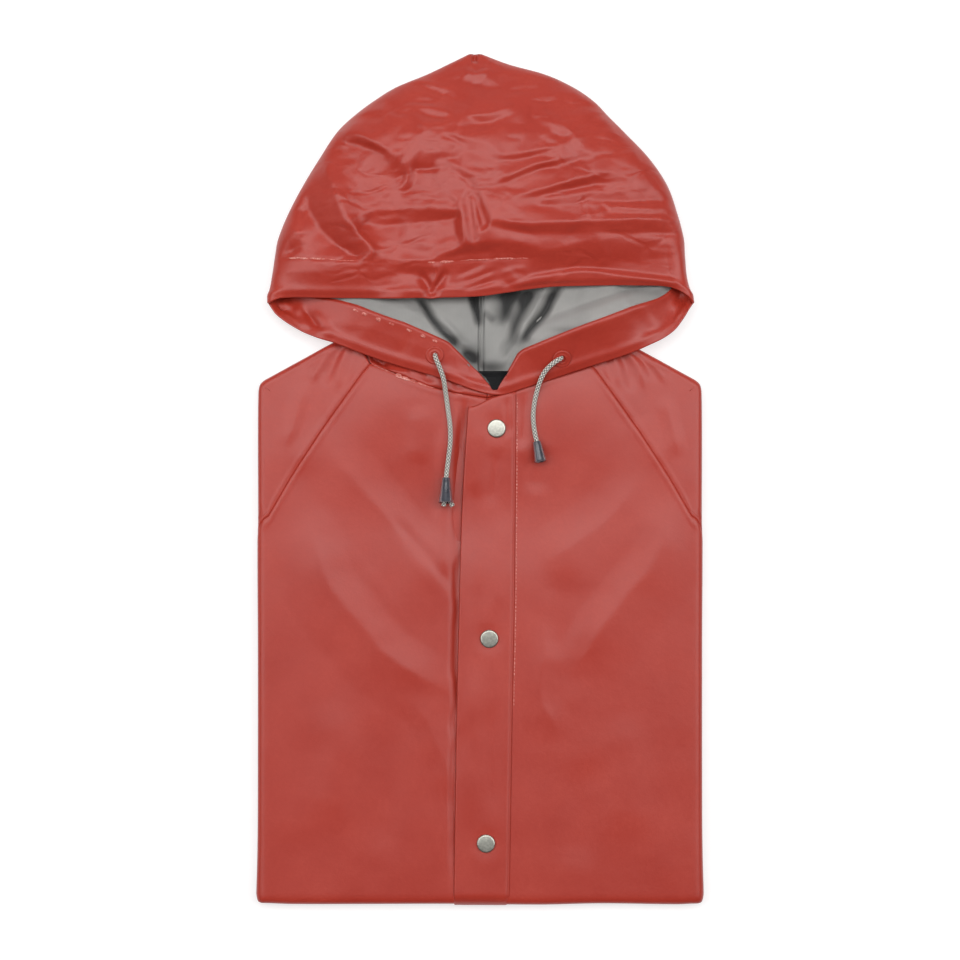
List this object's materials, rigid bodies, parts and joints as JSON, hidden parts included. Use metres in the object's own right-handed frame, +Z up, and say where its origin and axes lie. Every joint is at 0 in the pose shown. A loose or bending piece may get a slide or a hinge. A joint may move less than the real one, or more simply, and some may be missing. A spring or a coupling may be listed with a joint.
{
  "type": "kids rain jacket, folded",
  "caption": "Hooded kids rain jacket in red coated fabric, folded flat with its front up, hood open above the shoulders, stud placket and drawcords.",
  "frame": {"origin": "middle of the jacket's footprint, without the drawcords, on the surface that it lies on", "axes": "+Y from the bottom fold to the crown of the hood, +X to the wearer's left, +Z up from the surface"},
  "size_m": [0.3106, 0.5969, 0.0432],
  "materials": {
    "pvc_red": "red coated rain fabric, smooth satin face with soft broad highlights",
    "backing_grey": "grey knitted backing of the coated fabric, matte",
    "tape_black": "black woven tape, matte, bare",
    "snap_nickel": "satin nickel plated brass cap",
    "cord_grey": "light grey braided polyester cord",
    "cord_end_smoke": "smoke grey moulded plastic, slightly clear, glossy"
  },
  "bodies": {
    "root": {"hidden_layers": "pvc_red", "front_right": "pvc_red", "front_left": "pvc_red", "sleeve_right": "pvc_red", "sleeve_left": "pvc_red", "placket": "pvc_red", "neck_band_right": "pvc_red", "neck_band_left": "pvc_red", "hood_shell": "pvc_red", "hood_hem": "pvc_red", "hood_lining_right": "backing_grey", "hood_lining_left": "backing_grey", "neck_label": "tape_black", "snap_1": "snap_nickel", "snap_2": "snap_nickel", "snap_3": "snap_nickel", "eyelet_right": "pvc_red", "eyelet_left": "pvc_red", "drawcord_right": "cord_grey", "drawcord_left": "cord_grey", "cord_end_right": "cord_end_smoke", "cord_end_left": "cord_end_smoke"}
  },
  "joints": []
}
